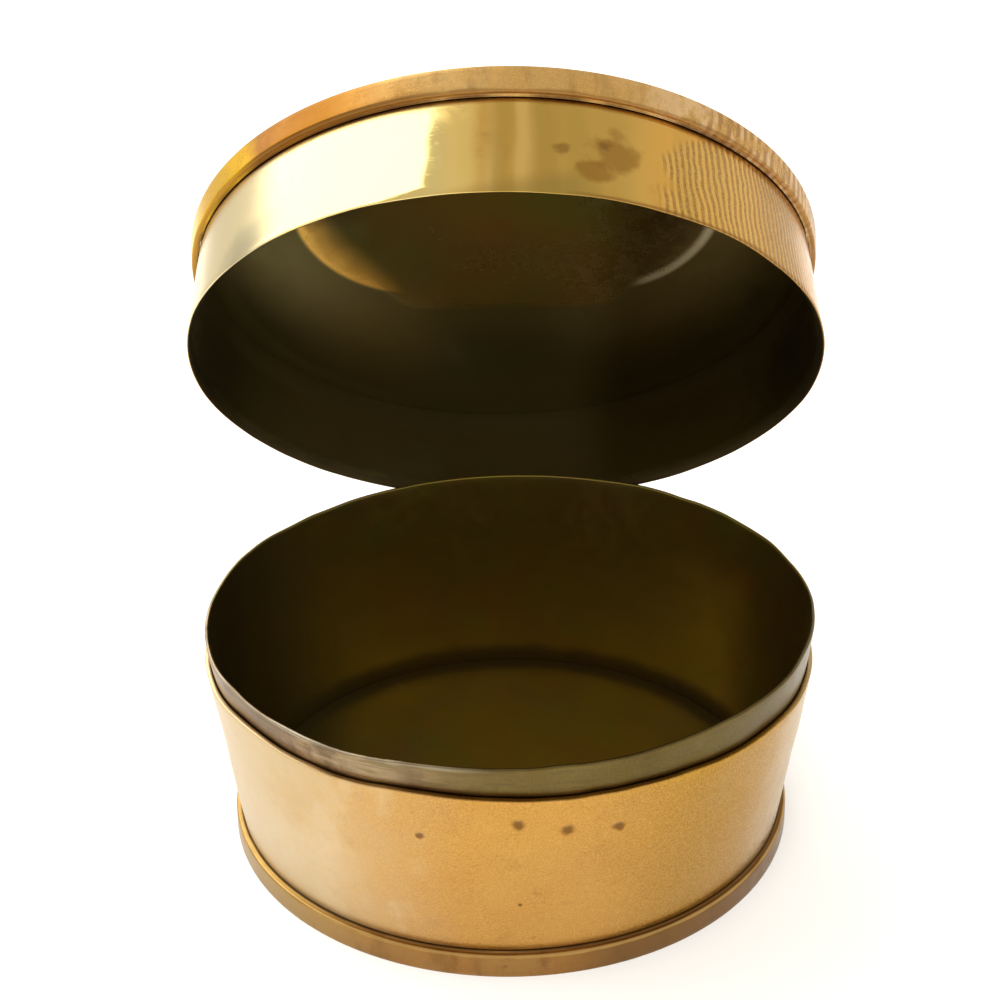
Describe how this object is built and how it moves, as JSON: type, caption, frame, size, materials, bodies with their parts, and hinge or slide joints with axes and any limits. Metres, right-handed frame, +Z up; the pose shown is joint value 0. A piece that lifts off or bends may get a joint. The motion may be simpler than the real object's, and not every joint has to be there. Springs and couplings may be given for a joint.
{
  "type": "oval hinged trinket box",
  "caption": "Small oval box of polished sheet brass with proud rims, an inner bezel and a hinged lid that stands open.",
  "frame": {"origin": "middle of the underside of the floor plate, on the surface that the box stands on", "axes": "+X to the right of a person facing the mouth, +Y towards the hinge, +Z up; the lid stands 60 degrees open at rest"},
  "size_m": [0.0522, 0.0492, 0.0598],
  "materials": {
    "wall_brass": "polished, softly scratched",
    "rim_brass": "polished, darker in the groove",
    "bezel_brass": "dull, slightly tarnished",
    "plate_brass": "mirror polished, aged",
    "lid_brass": "mirror polished",
    "hinge_brass": "satin, tarnished in the joints"
  },
  "bodies": {
    "box": {"body_wall": "wall_brass", "floor_plate": "plate_brass", "base_rim": "rim_brass", "bezel": "bezel_brass", "body_hinge_bearer": "hinge_brass", "body_knuckle_left": "hinge_brass", "body_knuckle_centre": "hinge_brass", "body_knuckle_right": "hinge_brass", "hinge_pin": "hinge_brass"},
    "lid": {"lid_wall": "lid_brass", "lid_plate": "plate_brass", "lid_rim": "rim_brass", "lid_hinge_bearer": "hinge_brass", "lid_knuckle_left": "hinge_brass", "lid_knuckle_right": "hinge_brass"}
  },
  "joints": [
    {"name": "lid_hinge", "type": "hinge", "parent": "box", "child": "lid", "pos_m": [0, 0.02023, 0.01957], "axis": [-1, 0, 0], "range_deg": [-60, 40]}
  ]
}
